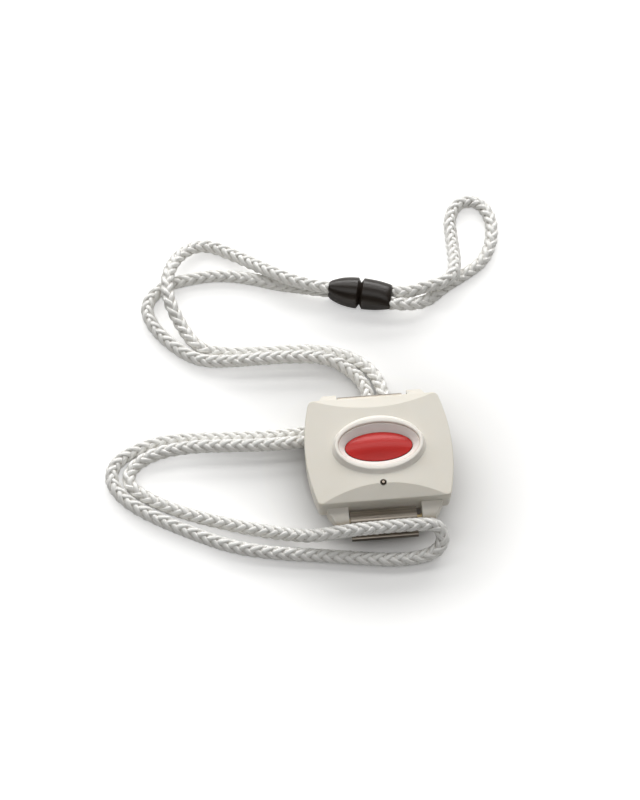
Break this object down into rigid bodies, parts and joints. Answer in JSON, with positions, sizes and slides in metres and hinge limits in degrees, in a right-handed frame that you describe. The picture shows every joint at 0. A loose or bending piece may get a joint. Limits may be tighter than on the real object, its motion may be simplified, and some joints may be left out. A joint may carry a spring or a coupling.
{
  "type": "panic button",
  "caption": "Wearable wireless panic button in a barrel-shaped housing, with a spring-steel belt clip, a braided neck cord and a breakaway connector.",
  "frame": {"origin": "on the surface that the part lies on, at the flat belly of the belt clip's tongue, under the middle of the housing", "axes": "+Z out of the button's face, +Y from the lamp's end to the other end of the housing, +X to the right as seen from the front with the lamp's end nearest"},
  "size_m": [0.1322, 0.1348, 0.0172],
  "materials": {
    "housing_plastic": "fine satin texture, off-white",
    "rim_plastic": "smooth satin, white",
    "button_plastic": "smooth, red, softly glossy",
    "gasket_rubber": "soft, dark",
    "pad_rubber": "soft silicone, grey",
    "screw_steel": "plain",
    "switch_plastic": "plain black",
    "board_laminate": "green solder mask",
    "cell_steel": "bright",
    "contact_metal": "plated sheet",
    "can_metal": "plain",
    "chip_plastic": "plain black",
    "lamp_plastic": "clear to milky",
    "clip_steel": "dark browned spring steel, smooth and reflective",
    "bar_steel": "bright",
    "tip_metal": "bright, warm",
    "connector_plastic": "glossy black",
    "cord_braid": "white round braid"
  },
  "bodies": {
    "housing": {"front_cover": "housing_plastic", "button_rim": "rim_plastic", "rear_case": "housing_plastic", "case_gasket": "gasket_rubber", "case_screws": "screw_steel", "button_pad": "pad_rubber", "switch_body": "switch_plastic", "circuit_board": "board_laminate", "coin_cell": "cell_steel", "battery_contact_plus": "contact_metal", "battery_contact_minus": "contact_metal", "radio_can": "can_metal", "controller_chip": "chip_plastic", "crystal": "can_metal", "antenna": "contact_metal", "status_led": "lamp_plastic", "light_pipe": "lamp_plastic", "belt_clip": "clip_steel", "spring_bar_near": "bar_steel", "spring_bar_far": "bar_steel", "connector_socket": "connector_plastic", "neck_cord": "cord_braid"},
    "button": {"button": "button_plastic"},
    "plunger": {"switch_plunger": "switch_plastic"},
    "plug": {"connector_plug": "connector_plastic", "loop_cord": "cord_braid"},
    "tip_near_left": {"bar_tip_near_left": "tip_metal"},
    "tip_near_right": {"bar_tip_near_right": "tip_metal"},
    "tip_far_left": {"bar_tip_far_left": "tip_metal"},
    "tip_far_right": {"bar_tip_far_right": "tip_metal"}
  },
  "joints": [
    {"name": "button_press", "type": "slide", "parent": "housing", "child": "button", "axis": [0, 0, -1], "range_m": [0, 0.0005], "stiffness_N_per_m": 2000, "springref_m": -0.0005, "deforming": ["button_pad"]},
    {"name": "plunger_slide", "type": "slide", "parent": "housing", "child": "plunger", "axis": [0, 0, -1], "range_m": [0, 0.0005]},
    {"name": "breakaway_release", "type": "slide", "parent": "housing", "child": "plug", "axis": [0.9715, -0.2368, 0], "range_m": [0, 0.008]},
    {"name": "tip_near_left_slide", "type": "slide", "parent": "housing", "child": "tip_near_left", "axis": [1, 0, 0], "range_m": [0, 0.00125], "stiffness_N_per_m": 500, "springref_m": -0.002},
    {"name": "tip_near_right_slide", "type": "slide", "parent": "housing", "child": "tip_near_right", "axis": [-1, 0, 0], "range_m": [0, 0.00125], "stiffness_N_per_m": 500, "springref_m": -0.002},
    {"name": "tip_far_left_slide", "type": "slide", "parent": "housing", "child": "tip_far_left", "axis": [1, 0, 0], "range_m": [0, 0.00125], "stiffness_N_per_m": 500, "springref_m": -0.002},
    {"name": "tip_far_right_slide", "type": "slide", "parent": "housing", "child": "tip_far_right", "axis": [-1, 0, 0], "range_m": [0, 0.00125], "stiffness_N_per_m": 500, "springref_m": -0.002}
  ],
  "couplings": [
    {"joint": "plunger_slide", "follows": "button_press", "ratio": 1}
  ]
}
